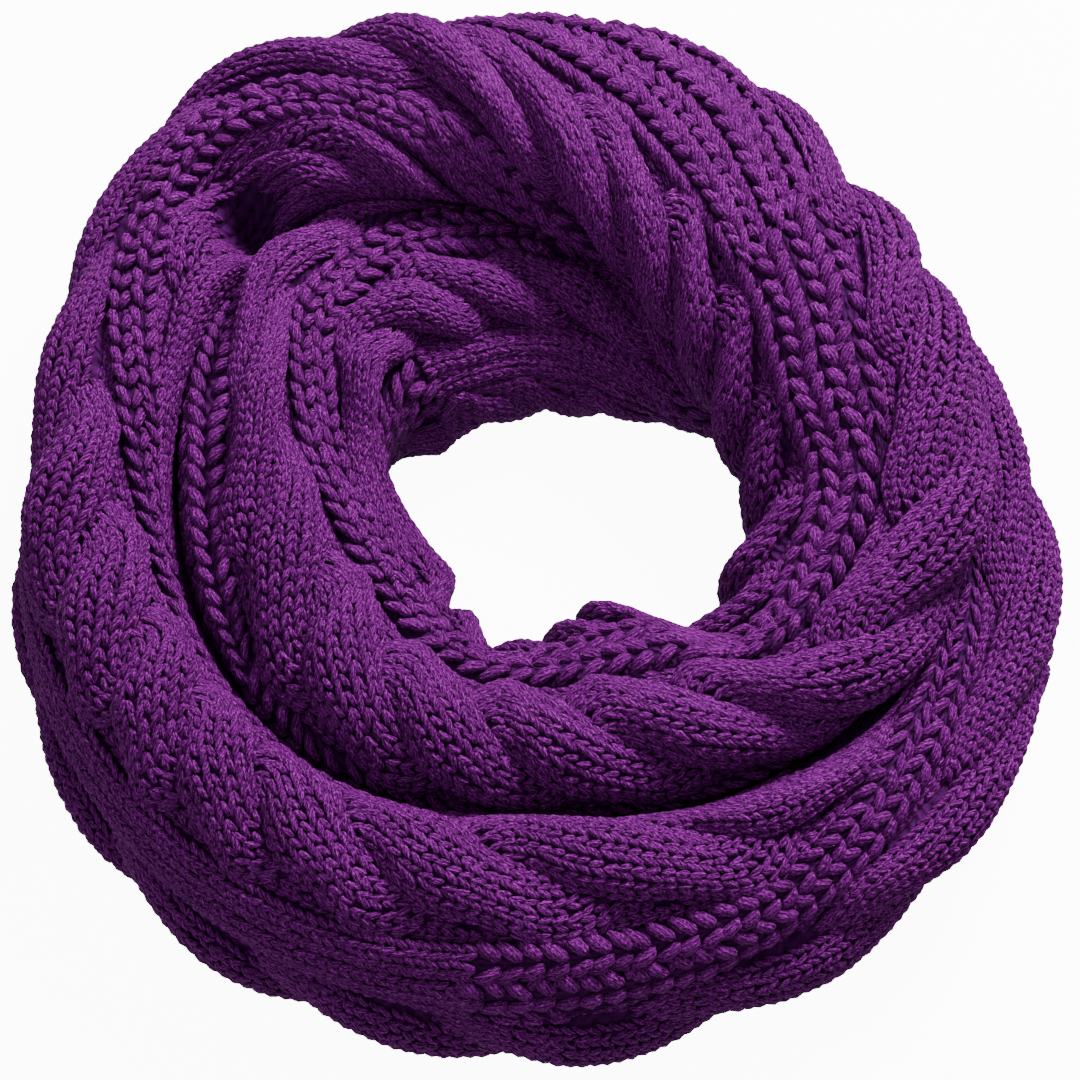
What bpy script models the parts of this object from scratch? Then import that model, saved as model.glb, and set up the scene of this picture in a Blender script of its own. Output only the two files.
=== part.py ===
"""Cable knit infinity scarf, wound in two turns and laid on a flat surface.

The scarf is one knitted strip whose ends are joined, so it is a closed loop. The loop is wound twice: the first
turn is the outer and lower one, the second turn is the inner one, and it climbs over the first at the back.
Azimuth runs anticlockwise seen from above, from 125 to 485 degrees on the first turn and on to 845 on the second,
where it meets the first again. A section is a closed curve in the upright half plane of its azimuth. On a section,
an angle of 0 points away from the neck hole, 90 points up and 180 points at the hole.

Lengths in the tables are millimetres, and angles are degrees.
"""

import math
from collections import namedtuple

import bmesh
import bpy
import numpy as np

MM = 0.001
START, TURN, LOOP = 125, 360, 720

# The rolled strip before its relief: its reach from the hole's centre, and its lowest and highest point.
Section = namedtuple("Section", "azimuth inner outer low high")
SECTIONS = [Section(*row) for row in (
    (125, 146, 199, -6, 68),
    (145, 132, 182, -6, 69),
    (165, 117, 169, -6, 69),
    (185, 113, 172, -6, 68),
    (210, 106, 170, -6, 67),
    (235, 97, 167, -6, 65),
    (255, 91, 164, -6, 64),
    (270, 89, 165, -6, 64),
    (290, 91, 162, -6, 63),
    (315, 100, 166, -6, 58),
    (340, 106, 172, -6, 50),
    (360, 103, 172, -6, 44),
    (375, 93, 166, -6, 41),
    (390, 83, 168, -6, 38),
    (410, 73, 156, -6, 38),
    (430, 66, 150, -6, 40),
    (450, 63, 141, -6, 44),
    (467, 60, 139, -6, 52),
    (485, 61, 139, -6, 58),
    (500, 63, 140, -6, 64),
    (515, 61, 134, -6, 66),
    (540, 48, 122, -6, 66),
    (560, 42, 117, -6, 65),
    (585, 43, 113, -6, 64),
    (610, 45, 105, -6, 62),
    (630, 41, 101, -6, 61),
    (650, 38, 104, -6, 63),
    (664, 38, 110, -6, 64),
    (675, 45, 116, -6, 65),
    (682, 64, 121, -6, 66),
    (692, 72, 128, -6, 68),
    (708, 73, 139, -6, 69),
    (725, 79, 150, -6, 72),
    (750, 79, 158, -6, 76),
    (770, 84, 160, -3, 79),
    (790, 94, 183, -3, 82),
    (810, 106, 188, -6, 83),
    (828, 125, 188, -6, 79),
    (845, 146, 199, -6, 68),
)]

# The plane on which the two turns lie against each other: a point on it, and which way it faces the second turn.
Contact = namedtuple("Contact", "azimuth radius height facing")
CONTACTS = [Contact(*row) for row in (
    (125, 140, 36, 180),
    (145, 134, 36, 180),
    (165, 124, 36, 175),
    (185, 118, 36, 170),
    (210, 112, 36, 168),
    (235, 107, 36, 168),
    (270, 98, 36, 168),
    (300, 106, 36, 160),
    (320, 114, 36, 150),
    (340, 120, 34, 138),
    (360, 121, 30, 124),
    (390, 123, 33, 103),
    (420, 122, 38, 84),
    (450, 124, 42, 56),
    (467, 132, 40, 28),
    (485, 140, 36, 0),
)]
PLANE_CLEARANCE = 0.4
PRESSED_DEPTH = 5.0

# Where each of the three cables runs on the section.
Run = namedtuple("Run", "azimuth angle")
CABLE_RUNS = {
    "outer": [Run(*row) for row in (
        (125, -100), (180, -42), (225, -26), (270, -20), (300, -5), (315, 15), (330, 36), (345, 47),
        (360, 50), (400, 38), (440, 18), (465, 14), (485, 38), (495, 55), (510, 80), (525, 88),
        (540, 88), (570, 85), (600, 80), (630, 70), (660, 67), (675, 62), (695, 57), (720, 57),
        (750, 48), (765, 26), (780, 5), (810, -30), (830, -70), (845, -100),
    )],
    "main": [Run(*row) for row in (
        (125, 15), (150, 22), (165, 45), (180, 68), (200, 86), (225, 90), (255, 92), (270, 97),
        (300, 100), (315, 108), (330, 120), (360, 135), (400, 130), (435, 110), (465, 104), (480, 103),
        (495, 114), (510, 140), (525, 158), (540, 170), (570, 182), (600, 188), (630, 186), (660, 180),
        (690, 174), (720, 172), (745, 172), (765, 160), (780, 150), (795, 133), (805, 115), (818, 85),
        (830, 45), (845, 15),
    )],
    "inner": [Run(*row) for row in (
        (125, 138), (150, 142), (165, 160), (180, 180), (225, 200), (270, 212), (315, 235), (345, 258),
        (360, 262), (390, 250), (420, 215), (450, 190), (465, 188), (480, 195), (495, 215), (510, 250),
        (540, 285), (600, 300), (660, 295), (720, 290), (765, 272), (795, 240), (810, 215), (820, 190),
        (830, 160), (845, 138),
    )],
}
# The azimuths at which one strand of a cable crosses over the other.
CROSSINGS = {
    "outer": (125, 148, 170, 192, 214, 236, 258, 280, 303, 325, 350, 372, 395, 418, 440, 460, 478, 496,
              521, 553, 583, 611, 637, 664, 690, 716, 742, 762, 782, 802, 824, 845),
    "main": (125, 145, 163, 180, 196, 209, 222, 237, 256, 281, 307, 330, 352, 375, 398, 420, 442, 462,
             481, 502, 560, 588, 615, 640, 664, 688, 710, 732, 752, 772, 789, 806, 824, 845),
    "inner": tuple(np.linspace(START, START + LOOP, 33)),
}

CABLE_HALF_WIDTH = 24.0
NARROWEST_RIB_GROUP = 18.0
CABLE_SHARE = 0.55
STRAND_SWING = 11.8
STRAND_LAG = 0.5
STRAND_LEAN = 0.25
STRAND_HALF_WIDTH = 12.6
CROSSING_SPREAD = 3.8
UNDER_SPREAD = 1.0
STRAND_RISE = 9.5
CROSSING_RISE = 4.5
CABLE_SEAT = -3.0
RIB_COLUMNS = 3
RIB_COLUMN_WIDTH = 12.0
FOLDED_COLUMN = 1.0
FULL_HEIGHT_COLUMN = 6.0
RIB_VALLEY = -2.0
RIB_RISE = 4.0
ROUNDNESS = 2.3

CABLE_STEPS = 8
STATIONS_PER_STRETCH = 27
SEAM_GAP = 0.3
CURVE_SAMPLES = 120
SLIT_SAMPLES = 97

Stretch = namedtuple("Stretch", "name first last")
STRETCHES = [Stretch(*row) for row in (
    ("turn_1_left", 125, 215),
    ("turn_1_front", 215, 305),
    ("turn_1_right", 305, 395),
    ("turn_1_back", 395, 485),
    ("turn_2_left", 485, 575),
    ("turn_2_front", 575, 665),
    ("turn_2_right", 665, 755),
    ("turn_2_back", 755, 845),
)]

YARN_COLOUR = (0.072, 0.0075, 0.088, 1.0)
YARN_ROUGHNESS = 0.85


def smooth(rows, azimuth):
    """The columns after the first, on a cubic through the rows. Rows that span the whole loop close on themselves."""
    table = np.array(rows, float)
    x, y = table[:, 0], table[:, 1:]
    step = np.diff(x)[:, None]
    slope = np.diff(y, axis=0) / step
    tangent = np.zeros_like(y)
    tangent[1:-1] = (slope[:-1] * step[1:] + slope[1:] * step[:-1]) / (step[:-1] + step[1:])
    if x[-1] - x[0] == LOOP:
        tangent[0] = (slope[-1] * step[0] + slope[0] * step[-1]) / (step[0] + step[-1])
        tangent[-1] = tangent[0]
    i = np.clip(np.searchsorted(x, azimuth, side="right") - 1, 0, len(x) - 2)
    h = step[i]
    u = (azimuth - x[i])[:, None] / h
    return (
        (2 * u**3 - 3 * u**2 + 1) * y[i]
        + (u**3 - 2 * u**2 + u) * h * tangent[i]
        + (3 * u**2 - 2 * u**3) * y[i + 1]
        + (u**3 - u**2) * h * tangent[i + 1]
    )


def plain_curve(azimuth):
    """Each section before its relief: angles, girth up to each angle, radius, height and outward direction."""
    inner, outer, low, high = smooth(SECTIONS, azimuth).T[:, :, None]
    angle = np.linspace(0, 2 * math.pi, CURVE_SAMPLES + 1)
    across = np.sign(np.cos(angle)) * np.abs(np.cos(angle)) ** (2 / ROUNDNESS)
    up = np.sign(np.sin(angle)) * np.abs(np.sin(angle)) ** (2 / ROUNDNESS)
    r = (inner + outer) / 2 + (outer - inner) / 2 * across
    z = (low + high) / 2 + (high - low) / 2 * up
    dr = np.gradient(np.concatenate([r[:, -2:-1], r, r[:, 1:2]], 1), axis=1)[:, 1:-1]
    dz = np.gradient(np.concatenate([z[:, -2:-1], z, z[:, 1:2]], 1), axis=1)[:, 1:-1]
    length = np.hypot(dr, dz)
    girth = np.concatenate([np.zeros((len(r), 1)), np.cumsum(np.hypot(np.diff(r), np.diff(z)), 1)], 1)
    return np.degrees(angle), girth, r, z, dz / length, -dr / length


def wrapped(x, xs, ys, whole):
    """Linear reading of ys at x on a closed curve, where ys grows by whole for each lap of xs."""
    laps = np.floor(x / xs[-1])
    return np.interp(x - laps * xs[-1], xs, ys) + laps * whole


def crossing_phase(name, azimuth):
    """How many crossings of this cable lie behind, growing evenly between them."""
    crossings = np.array(CROSSINGS[name], float)
    return smooth(np.column_stack([crossings, np.arange(len(crossings))]), azimuth)[:, 0]


def strand(phase, which):
    """A strand's middle, half width and crest. It crosses over the other slowly and goes back under it quickly. It is
    narrowest between the crossings. It is highest where it lies over the other, and lowest and widest under it."""
    turn = math.pi * (phase + 0.5 + which)
    middle = STRAND_SWING * np.cos(turn + STRAND_LAG * np.cos(turn))
    swell = np.sin(turn + STRAND_LEAN)
    half = STRAND_HALF_WIDTH + CROSSING_SPREAD * swell**2 - UNDER_SPREAD * swell
    return middle, half, STRAND_RISE + CROSSING_RISE * swell


def strand_height(phase, which, offset):
    middle, half, crest = strand(phase, which)
    return CABLE_SEAT + crest * np.sqrt(np.clip(1 - ((offset - middle) / half) ** 2, 0, 1))


def cable_height(phase, offset):
    """The height of a cable's two strands over the cloth, at this distance from the cable's middle."""
    return np.maximum(strand_height(phase, 0, offset), strand_height(phase, 1, offset))


def creased(phase, offsets):
    """The offsets across a cable, with the nearest one moved onto each slit where the two strands meet."""
    moved = np.array(offsets, float)
    fine = np.linspace(-CABLE_HALF_WIDTH, CABLE_HALF_WIDTH, SLIT_SAMPLES)
    first, second = (strand_height(phase, which, fine) for which in (0, 1))
    meet = (np.diff(np.sign(first - second)) != 0) & (np.minimum(first, second)[1:] > CABLE_SEAT)
    for slit in fine[1:][meet]:
        moved[np.abs(moved - slit).argmin()] = slit
    return moved


def rib_form(share, width):
    """How far from the cable's edge this share of the rib columns lies, and its height. Where there is little room,
    the first column folds away and the others keep their width."""
    column = RIB_COLUMNS * share
    roomy = np.minimum(RIB_COLUMN_WIDTH, (width - FOLDED_COLUMN) / (RIB_COLUMNS - 1))
    each = np.maximum(width / RIB_COLUMNS, roomy)
    first = width - (RIB_COLUMNS - 1) * each
    place = np.where(column < 1, column * first, first + (column - 1) * each)
    rise = RIB_RISE * np.where(column < 1, np.minimum(first / FULL_HEIGHT_COLUMN, 1), 1)
    return place, RIB_VALLEY + rise * np.abs(np.sin(math.pi * column)) ** 0.8


def press_apart(azimuth, r, z):
    """Keeps the points on their own turn's side of the contact plane, and on or above the floor."""
    on_first = (azimuth - START) % LOOP < TURN
    own_side = np.where(on_first, -1.0, 1.0)[:, None]
    radius, height, facing = smooth(CONTACTS, (azimuth - START) % TURN + START).T[:, :, None]
    across, up = np.cos(np.radians(facing)), np.sin(np.radians(facing))
    distance = ((r - radius) * across + (z - height) * up) * own_side
    free = distance - PLANE_CLEARANCE
    squeezed = PRESSED_DEPTH * np.exp(np.minimum(free, PRESSED_DEPTH) / PRESSED_DEPTH - 1)
    move = (np.where(free > PRESSED_DEPTH, free, squeezed) - free) * own_side
    return r + move * across, np.maximum(z + move * up, 0)


def cloth(azimuth, pattern):
    """Radius and height of the knitted surface. A pattern value of 0 to 3 goes once round: each whole number starts
    a cable, which takes CABLE_SHARE of the way to the next one, and rib columns take the rest."""
    angles, girth, r0, z0, across, up = plain_curve(azimuth)
    names = list(CABLE_RUNS)
    runs = {name: smooth(rows, azimuth)[:, 0] for name, rows in CABLE_RUNS.items()}
    phases = {name: crossing_phase(name, azimuth) for name in names}
    count = len(names)
    radius, height = np.zeros((2, len(azimuth), len(pattern)))
    repeat, share = np.divmod(pattern, 1)
    repeat = repeat.astype(int)
    for i in range(len(azimuth)):
        whole = girth[i, -1]
        middles = np.array([wrapped(runs[name][i], angles, girth[i], whole) for name in names])
        spans = np.diff(np.append(middles, middles[0] + whole))
        half = np.minimum(CABLE_HALF_WIDTH, (np.minimum(spans, np.roll(spans, 1)) - NARROWEST_RIB_GROUP) / 2)
        following = (repeat + 1) % count
        rib_share = (share - CABLE_SHARE) / (1 - CABLE_SHARE)
        rib_width = spans[repeat] - half[repeat] - half[following]
        rib_place, relief = rib_form(np.clip(rib_share, 0, 1), rib_width)
        along = middles[repeat] + half[repeat] + rib_place
        for number, name in enumerate(names):
            on_cable = (repeat == number) & (share < CABLE_SHARE)
            offset = creased(phases[name][i], (2 * share[on_cable] / CABLE_SHARE - 1) * CABLE_HALF_WIDTH)
            relief[on_cable] = cable_height(phases[name][i], offset)
            along[on_cable] = middles[number] + offset * half[number] / CABLE_HALF_WIDTH
        lap = along % whole
        radius[i] = np.interp(lap, girth[i], r0[i]) + relief * np.interp(lap, girth[i], across[i])
        height[i] = np.interp(lap, girth[i], z0[i]) + relief * np.interp(lap, girth[i], up[i])
    return press_apart(azimuth, radius, height)


def pattern_lines():
    """The pattern values that the mesh follows: evenly over each cable, and on each rib's edge and top."""
    cable = np.arange(CABLE_STEPS) / CABLE_STEPS * CABLE_SHARE
    ribs = CABLE_SHARE + np.arange(2 * RIB_COLUMNS) / (2 * RIB_COLUMNS) * (1 - CABLE_SHARE)
    return np.concatenate([number + np.append(cable, ribs) for number in range(len(CABLE_RUNS))])


def placed(azimuth, pattern, ahead):
    """Points of the knitted surface in metres, a row for each azimuth, moved ahead along the winding."""
    radius, height = cloth(azimuth, pattern)
    turned = np.radians(azimuth)[:, None]
    x = radius * np.cos(turned) - ahead * np.sin(turned)
    y = radius * np.sin(turned) + ahead * np.cos(turned)
    return np.stack([x, y, height], axis=-1) * MM


def stretch_points(stretch):
    """Points of one stretch, a row for each station, whose two ends stand back by half the seam gap, and the points
    halfway between the stations and the lines."""
    azimuth = np.linspace(stretch.first, stretch.last, STATIONS_PER_STRETCH + 1)
    ahead = np.zeros((len(azimuth), 1))
    ahead[0] = SEAM_GAP / 2
    ahead[-1] = -SEAM_GAP / 2
    lines = pattern_lines()
    between = (lines + np.append(lines[1:], len(CABLE_RUNS))) / 2
    return placed(azimuth, lines, ahead), placed((azimuth[:-1] + azimuth[1:]) / 2, between, 0)


def lofted(name, points, centres):
    """A closed mesh through the rows of points, with a flat cap on each end. Each patch between four points is folded
    along the diagonal that passes nearer to the knitted surface at its centre."""
    shape = bmesh.new()
    rings = [[shape.verts.new(point) for point in row] for row in points]
    beside = np.roll(points, -1, axis=1)
    falling = np.linalg.norm((points[:-1] + beside[1:]) / 2 - centres, axis=-1)
    rising = np.linalg.norm((points[1:] + beside[:-1]) / 2 - centres, axis=-1)
    for i, j in np.ndindex(falling.shape):
        k = (j + 1) % len(rings[i])
        here, next_line, opposite, ahead = rings[i][j], rings[i][k], rings[i + 1][k], rings[i + 1][j]
        if falling[i, j] < rising[i, j]:
            shape.faces.new((here, next_line, opposite))
            shape.faces.new((here, opposite, ahead))
        else:
            shape.faces.new((here, next_line, ahead))
            shape.faces.new((next_line, opposite, ahead))
    shape.faces.new(rings[0][::-1])
    shape.faces.new(rings[-1])
    bmesh.ops.recalc_face_normals(shape, faces=shape.faces)
    mesh = bpy.data.meshes.new(name)
    shape.to_mesh(mesh)
    shape.free()
    mesh.shade_smooth()
    mesh.set_sharp_from_angle(angle=math.radians(60))
    return mesh


def yarn_material(name):
    material = bpy.data.materials.new(name)
    material.use_nodes = True
    shader = material.node_tree.nodes["Principled BSDF"]
    shader.inputs["Base Color"].default_value = YARN_COLOUR
    shader.inputs["Roughness"].default_value = YARN_ROUGHNESS
    shader.inputs["Metallic"].default_value = 0.0
    return material


def main():
    for startup in list(bpy.data.objects):
        bpy.data.objects.remove(startup)
    scarf = bpy.data.collections.new("cable_knit_scarf")
    bpy.context.scene.collection.children.link(scarf)
    points = {stretch.name: stretch_points(stretch) for stretch in STRETCHES}
    every = np.concatenate([part.reshape(-1, 3) for part, _ in points.values()])
    middle = (every.min(axis=0) + every.max(axis=0)) / 2
    middle[2] = 0
    for name, (part, centres) in points.items():
        mesh = lofted(name, part - middle, centres - middle)
        mesh.materials.append(yarn_material(name + "_yarn"))
        scarf.objects.link(bpy.data.objects.new(name, mesh))


main()
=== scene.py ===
"""Looks of the cable knit infinity scarf: its cloth, every knit stitch that shows, yarn, light and camera.

The scarf is a closed loop of knitted strip, wound in two turns. Azimuth runs anticlockwise seen from above,
from 125 to 485 degrees on the first turn and on to 845 on the second, where it meets the first again. A
section is a closed curve in the upright half plane of its azimuth. On a section, an angle of 0 points away
from the neck hole, 90 points up and 180 points at the hole. Lengths are millimetres up to the meshes, which
are in metres.
"""

import itertools
import math
from collections import namedtuple

import bpy
import numpy as np
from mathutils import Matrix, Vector


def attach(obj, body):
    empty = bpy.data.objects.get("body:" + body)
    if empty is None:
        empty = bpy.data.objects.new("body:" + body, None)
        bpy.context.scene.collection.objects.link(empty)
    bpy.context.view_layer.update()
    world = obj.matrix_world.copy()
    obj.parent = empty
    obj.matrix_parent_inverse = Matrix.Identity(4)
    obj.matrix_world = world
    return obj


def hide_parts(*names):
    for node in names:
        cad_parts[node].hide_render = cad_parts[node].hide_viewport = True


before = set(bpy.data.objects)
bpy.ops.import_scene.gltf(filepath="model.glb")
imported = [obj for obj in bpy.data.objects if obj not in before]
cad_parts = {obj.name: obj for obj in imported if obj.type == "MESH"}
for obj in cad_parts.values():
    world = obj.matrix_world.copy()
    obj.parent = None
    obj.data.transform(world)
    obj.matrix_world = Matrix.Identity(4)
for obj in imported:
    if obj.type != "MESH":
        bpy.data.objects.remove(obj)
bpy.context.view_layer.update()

MM = 0.001
START, TURN, LOOP = 125, 360, 720

# The wound strip, as in the part's own source.
Section = namedtuple("Section", "azimuth inner outer low high")
SECTIONS = [Section(*row) for row in (
    (125, 146, 199, -6, 68),
    (145, 132, 182, -6, 69),
    (165, 117, 169, -6, 69),
    (185, 113, 172, -6, 68),
    (210, 106, 170, -6, 67),
    (235, 97, 167, -6, 65),
    (255, 91, 164, -6, 64),
    (270, 89, 165, -6, 64),
    (290, 91, 162, -6, 63),
    (315, 100, 166, -6, 58),
    (340, 106, 172, -6, 50),
    (360, 103, 172, -6, 44),
    (375, 93, 166, -6, 41),
    (390, 83, 168, -6, 38),
    (410, 73, 156, -6, 38),
    (430, 66, 150, -6, 40),
    (450, 63, 141, -6, 44),
    (467, 60, 139, -6, 52),
    (485, 61, 139, -6, 58),
    (500, 63, 140, -6, 64),
    (515, 61, 134, -6, 66),
    (540, 48, 122, -6, 66),
    (560, 42, 117, -6, 65),
    (585, 43, 113, -6, 64),
    (610, 45, 105, -6, 62),
    (630, 41, 101, -6, 61),
    (650, 38, 104, -6, 63),
    (664, 38, 110, -6, 64),
    (675, 45, 116, -6, 65),
    (682, 64, 121, -6, 66),
    (692, 72, 128, -6, 68),
    (708, 73, 139, -6, 69),
    (725, 79, 150, -6, 72),
    (750, 79, 158, -6, 76),
    (770, 84, 160, -3, 79),
    (790, 94, 183, -3, 82),
    (810, 106, 188, -6, 83),
    (828, 125, 188, -6, 79),
    (845, 146, 199, -6, 68),
)]

# The plane on which the two turns lie against each other: a point on it, and which way it faces the second
# turn.
Contact = namedtuple("Contact", "azimuth radius height facing")
CONTACTS = [Contact(*row) for row in (
    (125, 140, 36, 180),
    (145, 134, 36, 180),
    (165, 124, 36, 175),
    (185, 118, 36, 170),
    (210, 112, 36, 168),
    (235, 107, 36, 168),
    (270, 98, 36, 168),
    (300, 106, 36, 160),
    (320, 114, 36, 150),
    (340, 120, 34, 138),
    (360, 121, 30, 124),
    (390, 123, 33, 103),
    (420, 122, 38, 84),
    (450, 124, 42, 56),
    (467, 132, 40, 28),
    (485, 140, 36, 0),
)]
PLANE_CLEARANCE = 0.4
PRESSED_DEPTH = 5.0

# Where each of the three cables runs on the section.
Run = namedtuple("Run", "azimuth angle")
CABLE_RUNS = {
    "outer": [Run(*row) for row in (
        (125, -100), (180, -42), (225, -26), (270, -20), (300, -5), (315, 15), (330, 36), (345, 47),
        (360, 50), (400, 38), (440, 18), (465, 14), (485, 38), (495, 55), (510, 80), (525, 88),
        (540, 88), (570, 85), (600, 80), (630, 70), (660, 67), (675, 62), (695, 57), (720, 57),
        (750, 48), (765, 26), (780, 5), (810, -30), (830, -70), (845, -100),
    )],
    "main": [Run(*row) for row in (
        (125, 15), (150, 22), (165, 45), (180, 68), (200, 86), (225, 90), (255, 92), (270, 97),
        (300, 100), (315, 108), (330, 120), (360, 135), (400, 130), (435, 110), (465, 104), (480, 103),
        (495, 114), (510, 140), (525, 158), (540, 170), (570, 182), (600, 188), (630, 186), (660, 180),
        (690, 174), (720, 172), (745, 172), (765, 160), (780, 150), (795, 133), (805, 115), (818, 85),
        (830, 45), (845, 15),
    )],
    "inner": [Run(*row) for row in (
        (125, 138), (150, 142), (165, 160), (180, 180), (225, 200), (270, 212), (315, 235), (345, 258),
        (360, 262), (390, 250), (420, 215), (450, 190), (465, 188), (480, 195), (495, 215), (510, 250),
        (540, 285), (600, 300), (660, 295), (720, 290), (765, 272), (795, 240), (810, 215), (820, 190),
        (830, 160), (845, 138),
    )],
}
# The azimuths at which one strand of a cable crosses over the other.
CROSSINGS = {
    "outer": (125, 148, 170, 192, 214, 236, 258, 280, 303, 325, 350, 372, 395, 418, 440, 460, 478, 496,
              521, 553, 583, 611, 637, 664, 690, 716, 742, 762, 782, 802, 824, 845),
    "main": (125, 145, 163, 180, 196, 209, 222, 237, 256, 281, 307, 330, 352, 375, 398, 420, 442, 462,
             481, 502, 560, 588, 615, 640, 664, 688, 710, 732, 752, 772, 789, 806, 824, 845),
    "inner": tuple(np.linspace(START, START + LOOP, 33)),
}
CABLES = list(CABLE_RUNS)

# The relief of the cables and the ribs on the section, and how finely it is read. As in the part's source.
CABLE_HALF_WIDTH = 24.0
NARROWEST_RIB_GROUP = 18.0
CABLE_SHARE = 0.55
STRAND_SWING = 11.8
STRAND_LAG = 0.5
STRAND_LEAN = 0.25
STRAND_HALF_WIDTH = 12.6
CROSSING_SPREAD = 3.8
UNDER_SPREAD = 1.0
STRAND_RISE = 9.5
CROSSING_RISE = 4.5
CABLE_SEAT = -3.0
RIB_COLUMNS = 3
RIB_COLUMN_WIDTH = 12.0
FOLDED_COLUMN = 1.0
FULL_HEIGHT_COLUMN = 6.0
RIB_VALLEY = -2.0
RIB_RISE = 4.0
RIB_FULLNESS = 0.8
ROUNDNESS = 2.3
CABLE_STEPS = 8
STATIONS_PER_STRETCH = 27
CURVE_SAMPLES = 120
SLIT_SAMPLES = 97

Stretch = namedtuple("Stretch", "name first last")
STRETCHES = [Stretch(*row) for row in (
    ("turn_1_left", 125, 215),
    ("turn_1_front", 215, 305),
    ("turn_1_right", 305, 395),
    ("turn_1_back", 395, 485),
    ("turn_2_left", 485, 575),
    ("turn_2_front", 575, 665),
    ("turn_2_right", 665, 755),
    ("turn_2_back", 755, 845),
)]

# The tables that every lookup reads, by azimuth and by the share of the way round the section.
GRID_STEP = 0.5
GRID_AROUND = 240

# Stitches of the cables: stocking stitch, in columns that follow each strand.
STITCH_PITCH = 3.9
STRAND_COLUMNS = 7
STRAND_REACH = 70.0
LEG_LENGTH = 5.6
LEG_HALF_WIDTH = 1.32
LEG_HALF_DEPTH = 1.05
LEG_FOOT = 0.08
LEG_HEAD = 0.98
LEG_DIP = 1.0
LEG_LIFT = 0.0
LEG_BEND = 2.5
LEG_OPENING = 0.8
LEAST_LEG_WIDTH = 0.4
GROUND_COLUMNS = (-21.5, -17.0, -12.5, 12.5, 17.0, 21.5)
GROUND_COVERED = 2.5
GROUND_LIFT = 0.4
GROUND_FOOT = 0.2
GROUND_SLANT = 1.8

# Stitches of the ribs: long open ones, with short purl bars in the furrows between their columns.
RIB_PITCH = 7.4
RIB_LEG_LENGTH = 9.6
RIB_LEG_HALF_WIDTH = 2.6
RIB_LEG_HALF_DEPTH = 1.9
RIB_FOOT = 0.10
RIB_HEAD = 1.12
RIB_DIP = 1.8
RIB_LIFT = 0.5
RIB_BEND = 2.2
RIB_OPENING = 0.9
RIB_LEG_SHARE = 0.24
COLUMN_PARTS = ((1, 0), (2, 0), (2, 1))
NARROWEST_COLUMN = 6.5
WIDEST_COLUMN = 15.0
CROWDED_DISTANCE = 14.0
CROWDED_SIZE = 0.55
BAR_SPAN = 0.7
BAR_HALF_WIDTH = 1.6
BAR_SLANT = 2.5
BAR_LIFT = 0.6
BAR_DIP = 1.6
BAR_BEND = 2
BAR_PLACE = 0.25
NARROWEST_BAR_COLUMN = 7.0

# How uneven the knitting is. Sizes vary evenly, by up to a range. Places along and across a column vary
# normally, as shares of a leg's length and of the column's width, and heights in millimetres.
SIZE_RANGE = 0.08
LENGTH_RANGE = 0.1
BAR_RANGE = 0.15
CABLE_ALONG = 0.045
CABLE_ACROSS = 0.05
CABLE_UNEVENNESS = 0.12
GROUND_ACROSS_MM = 0.3
GROUND_UNEVENNESS = 0.2
FINE_ACROSS = 0.05
FINE_UNEVENNESS = 0.15
RIB_ALONG = 0.04
RIB_ACROSS = 0.04
RIB_UNEVENNESS = 0.2

# The first turn is knitted finely at the front left and at the hole's back. There are no open ribs after
# these cables, and this cable is flatter, from one azimuth to the other.
FINE_RIBS = {"outer": (172, 262), "main": (412, 486)}
FLAT_CABLES = {"inner": (404, 482)}
CABLE_FLATNESS = 0.6
FLAT_CABLE_HEIGHT = 4.0
FINE_COLUMNS = 7
FINE_LIFT = 0.3
FINE_FLATNESS = 0.7
FINE_HEIGHT = 0.6
FINE_FADE = 8.0

# A fold at the back left presses the outer turn down into a dark pit: its place, its reach along the winding
# and across it, and its depth. Only what lies above PIT_LOW moves, and it moves fully from PIT_HIGH upwards.
# What goes down by more than BARE_PIT_PAINTED_SHADE gets no stitches, so that the dark ground shows there as
# painted shade.
PIT_AZIMUTH = 131.5
PIT_RADIUS = 153.0
PIT_ALONG = 16.0
PIT_ACROSS = 12.5
PIT_DEPTH = 36.0
PIT_LOW = 3.0
PIT_HIGH = 48.0
BARE_PIT_PAINTED_SHADE = 20.0

# Cloth at the bottom of the gap that opens there between the turns: azimuths, radii and height.
TUCK_AZIMUTHS = (108, 152)
TUCK_RADII = (126, 160)
TUCK_HEIGHT = 8.0
TUCK_RISE = 5.0
TUCK_STEPS = (24, 8)

# What the floor and the other turn hide gets no stitches.
HIDDEN_FLOOR = 0.6
HIDDEN_CONTACT = -11.0
HIDDEN_STRAND = 0.9
SLIT = 1.3

CLOTH_DEPTH = 1.3
CLOTH_STATIONS = 72
CLOTH_CABLE_STEPS = 16
CLOTH_RIB_STEPS = 12

# The mesh of a leg, and the margins round each place in the OFBake layout.
RINGS = 3
SIDES = 6
SHADE_SHIFT = np.array((0.0, 900.0))
RING_PLACES = (0.17, 0.5, 0.83)
RING_SIZES = (0.80, 1.0, 0.80)
NORMAL_REACH = 0.8
LEG_MARGIN = 0.06
CLOTH_MARGIN = 0.01
SEED = 7


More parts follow.
